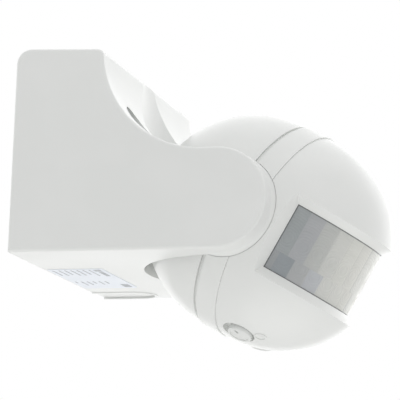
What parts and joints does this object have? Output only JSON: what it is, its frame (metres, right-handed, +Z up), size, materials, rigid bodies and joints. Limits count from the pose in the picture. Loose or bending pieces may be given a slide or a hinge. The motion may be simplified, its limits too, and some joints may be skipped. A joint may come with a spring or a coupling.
{
  "type": "motion sensor",
  "caption": "Wall-mounted passive infrared motion sensor: a ball-shaped detector head with a wrap-around lens tilts between two bracket arms and carries adjusting knobs underneath.",
  "frame": {"origin": "centre of the back face, midway between the two wall screws, on the wall plane", "axes": "+Z up, +Y into the wall, -Y out from the wall towards the front of the head, +X to the right for a person facing the sensor"},
  "size_m": [0.09, 0.1069, 0.0863],
  "materials": {
    "white_housing": "smooth satin",
    "white_head": "smooth satin",
    "white_knob": "smooth satin",
    "plate_plastic": "matte",
    "label": "printed film",
    "lens": "milky film with fine ridges",
    "rubber": "matte",
    "steel": "zinc plated",
    "can_metal": "satin nickel",
    "brass": "bright",
    "circuit_board": "solder mask",
    "relay_case": "gloss",
    "capacitor_case": "gloss",
    "capacitor_sleeve": "gloss",
    "varistor_coat": "gloss",
    "terminal_plastic": "matte",
    "lead_sheath": "satin",
    "filter_dark": "gloss",
    "led_red": "clear tint",
    "cell": "gloss",
    "chip_black": "matte",
    "trimmer_plastic": "matte"
  },
  "bodies": {
    "bracket": {"bracket_housing": "white_housing", "cable_knockout": "white_housing", "rating_label": "label", "back_plate": "plate_plastic", "back_seal": "rubber", "cable_grommet": "rubber", "housing_screws": "steel", "power_board": "circuit_board", "board_screws": "steel", "relay": "relay_case", "film_capacitor": "capacitor_case", "electrolytic_capacitor": "capacitor_sleeve", "varistor": "varistor_coat", "mains_fuse": "steel", "terminal_block": "terminal_plastic", "terminal_screws": "brass", "cable_clamp": "plate_plastic", "clamp_screws": "steel", "supply_lead_base": "lead_sheath", "pivot_pin_left": "white_head", "pivot_pin_right": "white_head"},
    "head": {"head_rear_shell": "white_head", "head_ring_band": "white_head", "head_front_shell": "white_head", "head_seal": "rubber", "head_screws": "steel", "fresnel_lens": "lens", "lens_retainer": "plate_plastic", "sensor_board": "circuit_board", "sensor_board_screws": "steel", "pir_sensor_centre": "can_metal", "pir_windows": "filter_dark", "indicator_led": "led_red", "light_sensor": "cell", "amplifier_chip": "chip_black", "lead_connector": "terminal_plastic", "supply_lead_head": "lead_sheath", "dial_symbols": "white_head", "friction_washer_left": "rubber", "friction_washer_right": "rubber", "pir_sensor_left": "can_metal", "pir_sensor_right": "can_metal", "side_board_left": "circuit_board", "side_board_right": "circuit_board", "time_trimmer": "trimmer_plastic", "lux_trimmer": "trimmer_plastic"},
    "time_knob": {"time_knob": "white_knob"},
    "lux_knob": {"lux_knob": "white_knob"}
  },
  "joints": [
    {"name": "head_tilt", "type": "hinge", "parent": "bracket", "child": "head", "pos_m": [0, -0.064, -0.01605], "axis": [-1, 0, 0], "range_deg": [-16, 49]},
    {"name": "time_knob_turn", "type": "hinge", "parent": "head", "child": "time_knob", "pos_m": [-0.01219, -0.06387, -0.05137], "axis": [-0.3585, 0.2611, -0.8963], "range_deg": [-135, 135]},
    {"name": "lux_knob_turn", "type": "hinge", "parent": "head", "child": "lux_knob", "pos_m": [0.01219, -0.06387, -0.05137], "axis": [0.3585, 0.2611, -0.8963], "range_deg": [-135, 135]}
  ]
}
